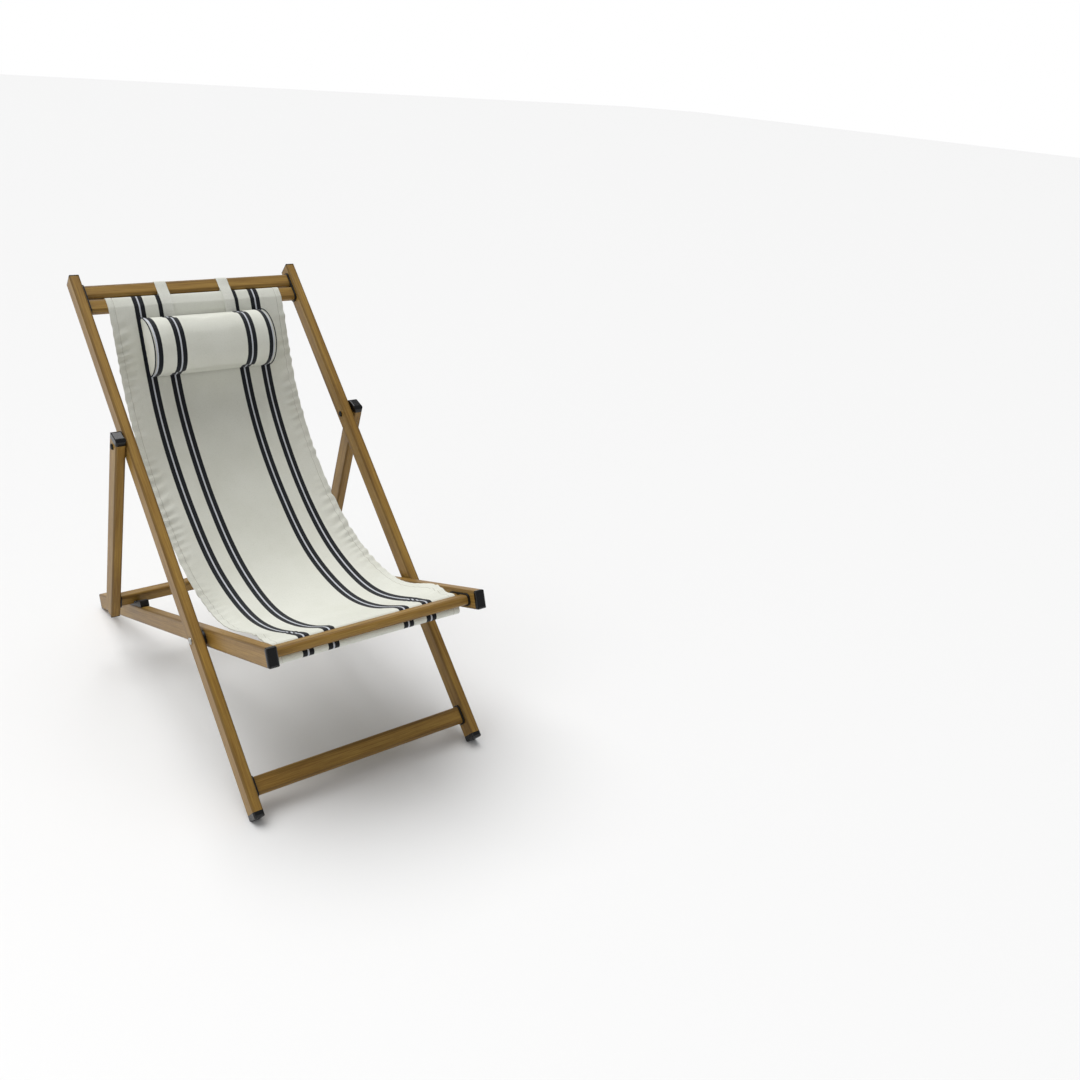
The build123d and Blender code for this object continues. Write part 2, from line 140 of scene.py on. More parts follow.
class Finish:
    """A material: one shader and the nodes that feed it."""

    def __init__(self, name):
        self.material = bpy.data.materials.new(name)
        self.material.use_nodes = True
        self.tree = self.material.node_tree
        self.shader = self.tree.nodes["Principled BSDF"]

    def node(self, kind, settings, *values, out=0, **named):
        made = self.tree.nodes.new(kind)
        for key, value in settings.items():
            if key == "stops":
                ramp = made.color_ramp
                while len(ramp.elements) < len(value):
                    ramp.elements.new(0.5)
                for element, (place, colour) in zip(ramp.elements, value):
                    element.position = place
                    element.color = colour
            else:
                setattr(made, key, value)
        for key, value in list(enumerate(values)) + list(named.items()):
            socket = made.inputs[key]
            if isinstance(value, Amount):
                self.tree.links.new(value.socket, socket)
            else:
                socket.default_value = value
        return Amount(self, made.outputs[out])

    def mixed(self, share, first, second):
        """Colour between first and second."""
        made = self.tree.nodes.new("ShaderNodeMix")
        made.data_type = "RGBA"
        for place, value in ((0, share), (6, first), (7, second)):
            if isinstance(value, Amount):
                self.tree.links.new(value.socket, made.inputs[place])
            else:
                made.inputs[place].default_value = value
        return Amount(self, made.outputs[2])

    def feed(self, **sockets):
        """Sets the shader's own sockets; underscores in names stand for spaces."""
        for key, value in sockets.items():
            socket = self.shader.inputs[key.replace("_", " ")]
            if isinstance(value, Amount):
                self.tree.links.new(value.socket, socket)
            else:
                socket.default_value = value

    def bumped(self, height, distance, strength=1.0):
        bump = self.node("ShaderNodeBump", {}, Strength=strength, Distance=distance, Height=height)
        self.feed(Normal=bump)

    def axes(self, turn=(0, 0, 0), stretch=(1, 1, 1)):
        """Object coordinates, turned and stretched, as a vector."""
        place = self.node("ShaderNodeTexCoord", {}, out="Object")
        return self.node("ShaderNodeMapping", {"vector_type": "TEXTURE"}, place,
                         Rotation=turn, Scale=stretch)

    def split(self, vector):
        made = self.tree.nodes.new("ShaderNodeSeparateXYZ")
        self.tree.links.new(vector.socket, made.inputs[0])
        return [Amount(self, output) for output in made.outputs]

    def noise(self, vector, scale, detail=2.0, roughness=0.5):
        return self.node("ShaderNodeTexNoise", {"normalize": True}, Vector=vector, Scale=scale,
                         Detail=detail, Roughness=roughness)


def grain_finish(name, turn, slope, spot, half_out, half_side, middle_x=None):
    """Printed wood grain whose fibres run along local Y after the turn, with painted shade along
    the long edges of a tube that lies at this slope through a spot (y, z) in side view. half_out
    and half_side are half the tube's size out of the rails' plane and beside it; middle_x is given
    for a tube that runs in side view, at that distance on both sides of the chair."""
    wood = Finish(name)
    place = wood.split(wood.axes())
    out = (place[2] - spot[1]) * math.cos(slope) - (place[1] - spot[0]) * math.sin(slope)
    if middle_x is None:
        beside = (place[1] - spot[0]) * math.cos(slope) + (place[2] - spot[1]) * math.sin(slope)
    else:
        beside = abs(place[0]) - middle_x
    edge_shade = abs(out).eased(half_out * 0.62, half_out * 0.98) * abs(beside).eased(
        half_side * 0.45, half_side * 0.95)
    fibres = wood.noise(wood.axes(turn, (0.012, 0.55, 0.012)), 6.0, 5.0, 0.62)
    figure = wood.noise(wood.axes(turn, (0.05, 0.9, 0.05)), 3.0, 3.0, 0.5)
    pores = wood.noise(wood.axes(turn, (0.0016, 0.035, 0.0016)), 2.0, 2.0, 0.6)
    blotch = wood.noise(wood.axes(), 14.0, 3.0, 0.6)
    tone = wood.node("ShaderNodeValToRGB", {"stops": [
        (0.20, dye("54390f")), (0.38, dye("7a5a24")), (0.50, dye("8f6d31")),
        (0.64, dye("a5833f")), (0.85, dye("b8984f"))]}, fibres * 0.6 + figure * 0.4)
    pore = pores.eased(0.60, 0.74)
    tone = wood.mixed(pore * 0.38, tone, dye("46330f"))
    tone = wood.mixed(blotch.eased(0.45, 0.8) * 0.18, tone, dye("6c5324"))
    # Painted shade: the tube's colour darkened along its long rounded edges.
    tone = wood.mixed(edge_shade * 0.6, tone, dye("4a3412"))
    wood.feed(Base_Color=tone, Roughness=0.36 + 0.12 * blotch + 0.1 * pore,
              Coat_Weight=0.10, Coat_Roughness=0.25, Specular_IOR_Level=0.28)
    wood.bumped(fibres * 0.5 - pore, 0.00012, 0.6)
    return wood.material


def dress(material, *names):
    """Puts a finish on CAD nodes that keep their shape."""
    for name in names:
        nodes[name].data.materials.clear()
        nodes[name].data.materials.append(material)


def pair(name):
    return name + "_left", name + "_right"


back_x, seat_x, strut_x = 0.2555, 0.2275, 0.279
rail_half_deep, rail_half_wide = 0.020, 0.011
for frame_name, slope, pin, middle_x in (("back_rail", back_slope, seat_pin, back_x),
                                         ("seat_rail", seat_slope, seat_pin, seat_x),
                                         ("strut", strut_slope, strut_pin, strut_x)):
    dress(grain_finish(frame_name + "_grain", (slope, 0, 0), slope, (pin.y, pin.z),
                       rail_half_deep, rail_half_wide, middle_x), *pair(frame_name))

# ---------------------------------------------------------------------------------------------
# The cross bars: flat-sided oval tube in the same printed grain, running across the chair.
# Two hold the head end of the cloth, two the seat end, one ties the feet and one the struts.
# ---------------------------------------------------------------------------------------------
bar_tall, bar_deep, bar_corner = 0.032, 0.020, 0.007
foot_bar_tall, strut_bar_deep = 0.038, 0.022
for bar, slope, deep, tall in (("top_bar_upper", back_slope, bar_deep, bar_tall),
                               ("top_bar_lower", back_slope, bar_deep, bar_tall),
                               ("foot_bar", back_slope, bar_deep, foot_bar_tall),
                               ("seat_bar_front", seat_slope, bar_deep, bar_tall),
                               ("seat_bar_rear", seat_slope, bar_deep, bar_tall),
                               ("strut_bar", strut_slope, strut_bar_deep, bar_tall)):
    middle = (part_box(bar)[0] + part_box(bar)[1]) / 2
    dress(grain_finish(bar + "_grain", (0, 0, math.radians(90)), slope, (middle.y, middle.z),
                       deep / 2, tall / 2), bar)

# ---------------------------------------------------------------------------------------------
# End caps and plugs: glossy black injection-moulded plastic with the faint orange-peel of the
# mould, scuffed dull where the floor caps rub.
# ---------------------------------------------------------------------------------------------
gloss_black = Finish("cap_plastic")
peel = gloss_black.noise(gloss_black.axes(), 900.0, 2.0, 0.5)
scuff = gloss_black.noise(gloss_black.axes(), 160.0, 4.0, 0.7)
rise = gloss_black.split(gloss_black.axes())[2]
worn = (1.0 - rise.eased(0.0, 0.03)) * scuff.eased(0.35, 0.7)
gloss_black.feed(
    Base_Color=gloss_black.mixed(worn * 0.5 + scuff * 0.08, dye("08080a"), dye("2c2c2b")),
    Roughness=0.14 + 0.12 * scuff + 0.45 * worn, Specular_IOR_Level=0.4)
gloss_black.bumped(peel + scuff * 0.4, 0.00008, 0.5)
dress(gloss_black.material, *pair("foot_cap"), *pair("top_plug"), *pair("seat_cap"),
      *pair("seat_plug"), *pair("strut_cap"), *pair("strut_plug"))

# ---------------------------------------------------------------------------------------------
# Collars, spacers and notch blocks: satin black nylon, spark-eroded texture and a faint haze.
# ---------------------------------------------------------------------------------------------
satin_black = Finish("collar_plastic")
grit = satin_black.noise(satin_black.axes(), 1500.0, 3.0, 0.6)
haze = satin_black.noise(satin_black.axes(), 60.0, 3.0, 0.6)
satin_black.feed(Base_Color=satin_black.mixed(haze * 0.5, dye("0c0c0d"), dye("1d1d1e")),
                 Roughness=0.34 + 0.16 * haze, Specular_IOR_Level=0.35)
satin_black.bumped(grit, 0.0001, 0.5)
dress(satin_black.material, *pair("top_collar"), *pair("foot_collar"), *pair("seat_collar"),
      *pair("strut_collar"), *pair("pivot_spacer"), *pair("hinge_washer"), *pair("notch_block"))

# ---------------------------------------------------------------------------------------------
# Pivot bolts and nuts: zinc-plated steel with fine turned rings and a few dull spots. The hinge
# bolts are black oxide. Each outer head gets a raised disc with a round recess.
# ---------------------------------------------------------------------------------------------
plate = Finish("bolt_metal")
spots = plate.noise(plate.axes(), 700.0, 3.0, 0.6)
rings = plate.noise(plate.axes((0, 0, 0), (1, 0.02, 0.02)), 8.0, 2.0, 0.5)
plate.feed(Base_Color=plate.mixed(spots.eased(0.5, 0.8) * 0.5, dye("b4b4b2"), dye("777774")),
           Metallic=1.0, Roughness=0.2 + 0.2 * spots + 0.08 * rings)
plate.bumped(rings, 0.00005, 0.4)
dress(plate.material, *pair("pivot_bolt"), *pair("pivot_nut"))
oxide = Finish("hinge_metal")
bloom = oxide.noise(oxide.axes(), 500.0, 3.0, 0.6)
oxide.feed(Base_Color=oxide.mixed(bloom * 0.6, dye("141414"), dye("2e2c2a")), Metallic=0.7,
           Roughness=0.35 + 0.2 * bloom)
dress(oxide.material, *pair("hinge_bolt"))


def bare():
    """Nothing is selected."""
    for thing in bpy.context.selected_objects:
        thing.select_set(False)


def chosen(piece):
    """Only this piece is selected and active."""
    bare()
    piece.select_set(True)
    bpy.context.view_layer.objects.active = piece


def applied(piece, kind, name, **settings):
    """Adds a modifier with these settings and applies it."""
    chosen(piece)
    modifier = piece.modifiers.new(name, kind)
    for key, value in settings.items():
        setattr(modifier, key, value)
    bpy.ops.object.modifier_apply(modifier=name)


def finished(piece, name, material, body):
    """Names a finished piece, gives it its material and body, and leaves its origin at zero."""
    chosen(piece)
    bpy.ops.object.transform_apply(location=True, rotation=True, scale=True)
    piece.name = name
    piece.data.name = name
    piece.data.materials.clear()
    piece.data.materials.append(material)
    bpy.ops.object.shade_smooth_by_angle(angle=math.radians(40))
    if body:
        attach(piece, body)
    return piece


def socket_ring(name, spot, radius, side, finish):
    """Raised disc with a round recess on a bolt head; side is the way the head faces."""
    bare()
    bpy.ops.mesh.primitive_cylinder_add(vertices=48, radius=radius, depth=0.0006, location=spot,
                                        rotation=(0, math.radians(90) * side, 0))
    piece = bpy.context.object
    bpy.ops.object.mode_set(mode="EDIT")
    bpy.ops.mesh.select_all(action="DESELECT")
    bpy.ops.object.mode_set(mode="OBJECT")
    for face in piece.data.polygons:
        face.select = face.normal.z > 0.9
    bpy.ops.object.mode_set(mode="EDIT")
    bpy.ops.mesh.inset(thickness=radius * 0.18)
    bpy.ops.mesh.inset(thickness=radius * 0.3, depth=-0.0002)
    bpy.ops.object.mode_set(mode="OBJECT")
    applied(piece, "BEVEL", "ease", width=0.0001, segments=2, limit_method="ANGLE")
    return finished(piece, name, finish.material, "back_frame")


ring_proud, pivot_ring, hinge_ring = 0.0002, 0.0050, 0.0044
for word, side in (("left", -1), ("right", 1)):
    low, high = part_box("pivot_bolt_" + word)
    face = low.x if side < 0 else high.x
    socket_ring("pivot_socket_" + word, (face + side * ring_proud, seat_pin.y, seat_pin.z),
                pivot_ring, side, plate)
    low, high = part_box("hinge_bolt_" + word)
    face = low.x if side < 0 else high.x
    socket_ring("hinge_socket_" + word, (face + side * ring_proud, strut_pin.y, strut_pin.z),
                hinge_ring, side, oxide)

# ---------------------------------------------------------------------------------------------
# The two rods in the hems of the cloth: bare drawn aluminium, streaked along their length.
# ---------------------------------------------------------------------------------------------
drawn = Finish("rod_metal")
streak = drawn.noise(drawn.axes((0, 0, 0), (1.0, 0.004, 0.004)), 9.0, 3.0, 0.6)
drawn.feed(Base_Color=drawn.mixed(streak, dye("a9aaab"), dye("c6c7c8")), Metallic=1.0,
           Roughness=0.3 + 0.2 * streak)
dress(drawn.material, "top_rod", "seat_rod")

# ---------------------------------------------------------------------------------------------
# The cloth: one strip of heavy off-white cotton canvas with four woven pairs of blue-black
# stripes. Each end is turned round a rod, passed up between two bars and wrapped over the lower
# or rear one, so it hangs between them. Long edges are double-turned hems, 14 mm wide.
# ---------------------------------------------------------------------------------------------
pivot_to_top, pivot_to_front = 0.866, 0.327
top_inset, front_inset = 0.0213, 0.027
bar_gap = 0.0043
top_low = pivot_to_top - top_inset - 1.5 * bar_tall - bar_gap
top_high = pivot_to_top - top_inset - 0.5 * bar_tall
seat_second = front_inset + 1.5 * bar_tall + bar_gap - pivot_to_front
hang_turn = math.radians(254.5)
cloth_half = 0.205
cloth_thick = 0.0013


def off_rail(slope, along, out):
    """Point (y, z) at a distance along a rail from the seat pin and out of its upper face."""
    return (seat_pin.y + along * math.cos(slope) - out * math.sin(slope),
            seat_pin.z + along * math.sin(slope) + out * math.cos(slope))


def bent(slope, along, out, radius, start, end, steps=7):
    """Points on an arc about a spot on a rail; angles in degrees, from the rail's direction."""
    points = []
    for k in range(steps):
        angle = math.radians(start + (end - start) * k / (steps - 1))
        points.append(off_rail(slope, along + radius * math.cos(angle),
                               out + radius * math.sin(angle)))
    return points


def smooth_path(points, step):
    """Evenly stepped points on a smooth curve through the given ones."""
    dense = []
    ends = [points[0]] + list(points) + [points[-1]]
    for a, b, c, d in zip(ends, ends[1:], ends[2:], ends[3:]):
        a, b, c, d = (Vector(p) for p in (a, b, c, d))
        gap = max((c - b).length, 1e-6)
        before, after = max((b - a).length, 1e-6), max((d - c).length, 1e-6)
        slope_b = ((b - a) / before * gap + (c - b) / gap * before) / (before + gap)
        slope_c = ((c - b) / gap * after + (d - c) / after * gap) / (gap + after)
        if a == b:
            slope_b = (c - b) / gap
        if c == d:
            slope_c = (c - b) / gap
        count = max(2, int(gap / step))
        for k in range(count):
            t = k / count
            h0, h1 = 2 * t ** 3 - 3 * t ** 2 + 1, t ** 3 - 2 * t ** 2 + t
            h2, h3 = -2 * t ** 3 + 3 * t ** 2, t ** 3 - t ** 2
            dense.append(b * h0 + slope_b * (gap * h1) + c * h2 + slope_c * (gap * h3))
    dense.append(Vector(points[-1]))
    return dense


class Path:
    """A line in side view that gives the point and the direction at any distance along it."""

    def __init__(self, points, step=0.001):
        self.points = smooth_path(points, step)
        self.marks = [0.0]
        for p, q in zip(self.points, self.points[1:]):
            self.marks.append(self.marks[-1] + (q - p).length)
        self.length = self.marks[-1]

    def at(self, distance):
        distance = min(max(distance, 0.0), self.length)
        low, high = 0, len(self.marks) - 1
        while high - low > 1:
            middle = (low + high) // 2
            if self.marks[middle] <= distance:
                low = middle
            else:
                high = middle
        share = (distance - self.marks[low]) / max(self.marks[high] - self.marks[low], 1e-9)
        return self.points[low].lerp(self.points[high], share)

    def along(self, distance):
        return (self.at(distance + 0.0015) - self.at(distance - 0.0015)).normalized()

    def nearest(self, spot):
        spot = Vector(spot)
        best = min(range(len(self.points)), key=lambda k: (self.points[k] - spot).length)
        return self.marks[best]


def rod_hem(slope, slot_at, side):
    """Points round a rod, from the stitched free edge to the slot; side turns it over."""
    turn = [(0.0012, -0.0060), (0.0017, -0.0098)]
    for degree in range(60, -241, -25):
        angle = math.radians(degree)
        turn.append((hem_radius * math.cos(angle), hem_radius * math.sin(angle) - rod_under))
    turn += [(-0.0002, -0.0098), (0.0, -0.0040), (0.0, 0.0030)]
    return [off_rail(slope, slot_at + side * a, b) for a, b in turn]


rod_under, hem_radius = bar_deep / 2 + 0.0102, 0.0091
wrap = bar_corner + 0.0009
flat_out = bar_deep / 2 + 0.0009
inner_out = bar_deep / 2 - bar_corner
top_turn = top_low + bar_tall / 2 - bar_corner
leave_turn = top_low - bar_tall / 2 + bar_corner
seat_turn = seat_second - bar_tall / 2 + bar_corner
lap_turn = seat_second + bar_tall / 2 - bar_corner
swing = math.degrees(hang_turn - math.pi - back_slope)

line = rod_hem(back_slope, top_turn + wrap, 1)
line += bent(back_slope, top_turn, inner_out, wrap, 0, 90)
line += bent(back_slope, leave_turn, inner_out, wrap, 90, 90 + swing, 5)
leaves = line[-1]
# Points that the hung cloth passes, rearward and up from the seat pin.
for ahead, up in ((0.465, 0.314), (0.321, 0.147), (0.153, 0.046), (-0.005, 0.023),
                  (-0.125, 0.048), (-0.172, 0.066)):
    line.append((seat_pin.y + ahead, seat_pin.z + up))
line += bent(seat_slope, lap_turn, inner_out, wrap, 81, 90, 3)
line += bent(seat_slope, seat_turn, inner_out, wrap, 90, 180)
line += list(reversed(rod_hem(seat_slope, seat_turn - wrap, -1)))
hung = Path(line)
leave_at = hung.nearest(leaves)
lap_at = hung.nearest(off_rail(seat_slope, lap_turn, flat_out))
lowest_at = hung.nearest((seat_pin.y + 0.02, seat_pin.z + 0.024))

random.seed(7)
puckers = [(random.uniform(0.0, 6.3), random.uniform(90, 330), random.uniform(0.4, 1.0))
           for k in range(9)]


def ripple(distance, phase):
    """Uneven wave of a hem whose thread is pulled tighter than the cloth."""
    return sum(size * math.sin(rate * distance + start + phase)
               for start, rate, size in puckers) / 3.2


def sling_rows():
    """Distances along the cloth of its rows: close together where it turns round bars."""
    rows, distance = [], 0.0
    while distance < hung.length:
        rows.append(distance)
        turning = distance < leave_at + 0.01 or distance > lap_at - 0.01
        distance += 0.0017 if turning else 0.0040
    return rows + [hung.length]


# Amounts in metres: how deep the edges pucker and how far in that reaches, how far the middle
# sags below the edges at least and what the hips add, how far each edge is pulled up ahead of
# the rear seat bar, the folds of the hems, and the wrinkles beside that bar.
pucker_deep, pucker_reach = 0.0022, 0.034
sag_least, sag_more = 0.0035, 0.0085
rise_right, rise_left = 0.016, 0.013
fold_pitch, fold_size, fold_swing = 0.023, 0.0015, 0.0012
tuck_size = 0.0030
rows = sling_rows()
columns = 82
bare()
bpy.ops.mesh.primitive_grid_add(x_subdivisions=columns, y_subdivisions=len(rows) - 1, size=2)
sling = bpy.context.object
corner_at = {}
for vertex in sling.data.vertices:
    across = math.copysign(1 - (1 - min(1.0, abs(vertex.co.x))) ** 1.4, vertex.co.x)
    distance = rows[round((vertex.co.y + 1) / 2 * (len(rows) - 1))]
    corner_at[vertex.index] = (across, distance)
    middle = hung.at(distance)
    way = hung.along(distance)
    face = Vector((way.y, -way.x))
    free = min(1.0, max(0.0, (distance - leave_at) / 0.05)) * min(
        1.0, max(0.0, (lap_at - distance) / 0.06))
    edge = max(0.0, 1 - (1 - abs(across)) * cloth_half / pucker_reach) ** 1.3
    side = 1 if across > 0 else -1
    loose = 0.12 + 0.88 * min(1.0, max(0.0, (lap_at - distance - 0.14) / 0.15))
    lift = edge * free * loose * pucker_deep * ripple(distance, side)
    lowest = 1 - ((distance - lowest_at) / (0.30 if distance < lowest_at else 0.24)) ** 2
    trough = sag_least + sag_more * max(0.0, lowest)
    lift += free * trough * (across ** 2 - 0.45)
    taut = math.exp(-((distance - lap_at + 0.065) / 0.095) ** 2)
    held = min(1.0, max(0.0, (lap_at - distance) / 0.03))
    lift += held * taut * (rise_right if side > 0 else rise_left) * abs(across) ** 5
    inside = (1 - abs(across)) * cloth_half
    fold = math.sin(2 * math.pi * distance / fold_pitch + 2.2 * math.sin(31 * distance + side) -
                    95 * inside * side) * math.exp(-((inside - 0.017) / 0.016) ** 2)
    lift += free * loose * fold * (
        fold_size + fold_swing * math.sin(17 * distance + 2 * side))
    lift += free * 0.0009 * math.sin(21 * distance + 5.0 * across) * (1 - across ** 2)
    tucked = math.exp(-((distance - lap_at + 0.030) / 0.020) ** 2)
    gathered = math.exp(-((abs(across) - 0.93) / 0.10) ** 2) + 0.5 * math.exp(
        -((abs(across) - 0.66) / 0.05) ** 2)
    lift += tucked * gathered * tuck_size * math.sin(300 * (distance - lap_at) + side)
    draw_in = edge * free * loose * 0.0011 * ripple(distance, side + 2.0)
    wide = cloth_half + free * 0.0020 * max(0.0, lowest) + free * taut * 0.002
    vertex.co = (across * wide - side * draw_in, middle.x + face.x * lift,
                 middle.y + face.y * lift)
cut = sling.data.uv_layers.active
for loop in sling.data.loops:
    across, distance = corner_at[loop.vertex_index]
    cut.data[loop.index].uv = ((across + 1) / 2, distance / hung.length)
hems = sling.vertex_groups.new(name="hems")
for vertex in sling.data.vertices:
    across, distance = corner_at[vertex.index]
    inside = (1 - abs(across)) * cloth_half
    hems.add([vertex.index], 1.0 if inside < 0.0135 else 0.55, "REPLACE")
applied(sling, "SOLIDIFY", "weight_of_cloth", thickness=cloth_thick * 1.5, offset=0.0,
        vertex_group="hems", thickness_vertex_group=0.0, use_even_offset=False)


def canvas(name, wide, long):
    """Plain-woven off-white cotton canvas with slubs and slight yellowing; returns the finish,
    its base colour, the distances across and along in metres, its yarns and its slubs."""
    cotton = Finish(name)
    uv = cotton.node("ShaderNodeUVMap", {"uv_map": "UVMap"})
    spread = cotton.split(uv)
    across = (spread[0] - 0.5) * wide
    along = spread[1] * long
    slub = cotton.noise(cotton.axes(), 420.0, 3.0, 0.6)
    shade = cotton.noise(cotton.axes(), 9.0, 4.0, 0.55)
    warp = ((across + slub * 0.0003) * (2 * math.pi / 0.0011)).sine()
    weft = ((along + slub * 0.0003) * (2 * math.pi / 0.0012)).sine()
    yarn = warp * weft
    base = cotton.mixed(shade.eased(0.35, 0.75) * 0.55, dye("e5e6dc"), dye("d9dacd"))
    base = cotton.mixed((slub.eased(0.45, 0.8) * 0.35 + yarn * 0.1).limited(), base, dye("c8c9ba"))
    return cotton, base, across, along, yarn, slub


def band(value, middle, half, soft=0.0003):
    """1 within half of the middle, 0 outside, with a soft edge."""
    return 1.0 - abs(value - middle).eased(half - soft, half + soft)


cotton, base, across, along, yarn, slub = canvas("sling_cloth", 2 * cloth_half, hung.length)
reach = abs(across + (slub - 0.5) * 0.0006)
for pair_middle in (0.0835, 0.137):
    dark = band(reach, pair_middle - 0.0067, 0.0050) + band(reach, pair_middle + 0.0067, 0.0050)
    base = cotton.mixed(band(reach, pair_middle, 0.0016) * 0.8, base, dye("c3c8d6"))
    base = cotton.mixed(dark.limited(), base, cotton.mixed(slub, dye("0b0d12"), dye("1d2027")))
from_edge = cloth_half - abs(across)
dash = (along.remainder(0.0042) < 0.0030) * 1.0
seam = band(from_edge, 0.0118, 0.0006) * dash + band(from_edge, 0.0028, 0.0005) * dash
turned = from_edge.eased(0.0128, 0.0138)
base = cotton.mixed((seam * 0.85).limited(), base, dye("f0f0e8"))
# Painted shade: a dark line along the fold where each hem turns under.
base = cotton.mixed(band(from_edge, 0.0137, 0.0006) * 0.35, base, dye("8d8874"))
cotton.feed(Base_Color=base, Roughness=0.88, Specular_IOR_Level=0.2, Sheen_Weight=0.15,
            Sheen_Roughness=0.5)
cotton.bumped(yarn * 0.5 + slub * 0.6 - turned * 1.5 + seam * 2.0, 0.00035, 0.8)
finished(sling, "sling_canvas", cotton.material, None)
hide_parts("sling")
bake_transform(sling)

# ---------------------------------------------------------------------------------------------
# The head bolster: a half-round filled cushion of the same canvas, flat against the cloth. Its
# D-shaped ends are sewn in with a dark corded seam; one stripe runs round it beside each end
# and a stripe pair further in.
# ---------------------------------------------------------------------------------------------
bolster_half, bolster_tall, bolster_deep = 0.1455, 0.138, 0.072
top_edge, low_edge = hung.at(leave_at + 0.022), hung.at(leave_at + 0.022 + bolster_tall)
down = (low_edge - top_edge).normalized()
out = Vector((down.y, -down.x))
heart = (top_edge + low_edge) / 2 + out * 0.0031


def bolster_spot(across, share, deep_share):
    """Point of the bolster: share goes -1 to 1 from its top edge to its lower edge."""
    spot = heart + down * (share * bolster_tall / 2) + out * (deep_share * bolster_deep)
    return (across, spot.x, spot.y)


around = 40
bare()
bpy.ops.mesh.primitive_cylinder_add(vertices=around, radius=1, depth=2, end_fill_type="NGON")
bolster = bpy.context.object
for vertex in bolster.data.vertices:
    angle = math.atan2(vertex.co.y, vertex.co.x)
    share, deep = math.cos(angle), max(0.0, math.sin(angle))
    vertex.co = bolster_spot(vertex.co.z * (bolster_half - 0.002), share * 0.965, deep * 0.955)
applied(bolster, "REMESH", "even_cloth", mode="VOXEL", voxel_size=0.0048)


def swollen(piece, cap, hold):
    """Blows a closed piece up as cloth for twenty frames, no point further than its cap."""
    scene = bpy.context.scene
    before = [vertex.co.copy() for vertex in piece.data.vertices]
    chosen(piece)
    cloth = piece.modifiers.new("filling", "CLOTH")
    cloth.settings.use_pressure = True
    cloth.settings.uniform_pressure_force = 4.0
    cloth.settings.effector_weights.gravity = 0.0
    cloth.point_cache.frame_start = 1
    cloth.point_cache.frame_end = 20
    for count in range(1, 21):
        scene.frame_set(count)
    bpy.ops.object.modifier_apply(modifier="filling")
    scene.frame_set(1)
    for vertex, start in zip(piece.data.vertices, before):
        move = vertex.co - start
        most = cap * hold(start)
        if move.length > most:
            move = move.normalized() * most if move.length > 1e-9 else move
        vertex.co = start + move


def bolster_hold(start):
    """Share of the swelling allowed: none on the back, a quarter at the corded end seams."""
    off_end = min(1.0, max(0.0, (bolster_half - 0.003 - abs(start.x)) / 0.03))
    proud = (Vector((start.y, start.z)) - heart).dot(out)
    return (0.25 + 0.75 * off_end) * min(1.0, max(0.0, (proud - 0.002) / 0.012))


most_swollen = 0.0055
swollen(bolster, most_swollen, bolster_hold)
for vertex in bolster.data.vertices:
    flat_spot = Vector((vertex.co.y, vertex.co.z))
    proud = (flat_spot - heart).dot(out)
    share = (flat_spot - heart).dot(down) / (bolster_tall / 2)
    if proud < 0.001:
        flat_spot = flat_spot + out * (0.001 - proud)
    crease = 0.0009 * math.sin(46 * vertex.co.x + 3 * share)
    crease *= math.exp(-((abs(share) - 0.9) / 0.14) ** 2)
    flat_spot = flat_spot + out * crease
    vertex.co = (vertex.co.x, flat_spot.x, flat_spot.y)
applied(bolster, "SUBSURF", "softened", levels=1, render_levels=1)

quilt = Finish("bolster_cloth")
slub = quilt.noise(quilt.axes(), 420.0, 3.0, 0.6)
shade = quilt.noise(quilt.axes(), 11.0, 4.0, 0.55)
place = quilt.split(quilt.axes())
height = quilt.split(quilt.axes((back_slope, 0, 0)))
yarn = ((place[0] + slub * 0.0003) * (2 * math.pi / 0.0011)).sine() * (
    (height[1] + slub * 0.0003) * (2 * math.pi / 0.0012)).sine()
base = quilt.mixed(shade.eased(0.35, 0.75) * 0.55, dye("e6e7dd"), dye("dbdccf"))
base = quilt.mixed((slub.eased(0.45, 0.8) * 0.35 + yarn * 0.1).limited(), base, dye("c9cabb"))
ends = abs(place[0] + (slub - 0.5) * 0.0006)
night = quilt.mixed(slub, dye("0b0d12"), dye("1d2027"))
base = quilt.mixed(band(ends, 0.0835, 0.0016) * 0.8, base, dye("c3c8d6"))
base = quilt.mixed((band(ends, 0.0768, 0.0050) + band(ends, 0.0902, 0.0050)).limited(), base, night)
base = quilt.mixed(band(ends, 0.1375, 0.0018) * 0.8, base, dye("c9cedb"))
base = quilt.mixed(band(ends, 0.1306, 0.0050), base, night)
quilt.feed(Base_Color=base, Roughness=0.88, Specular_IOR_Level=0.2, Sheen_Weight=0.15,
           Sheen_Roughness=0.5)
quilt.bumped(yarn * 0.5 + slub * 0.6, 0.00035, 0.8)
finished(bolster, "bolster_cushion", quilt.material, "back_frame")
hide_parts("bolster")

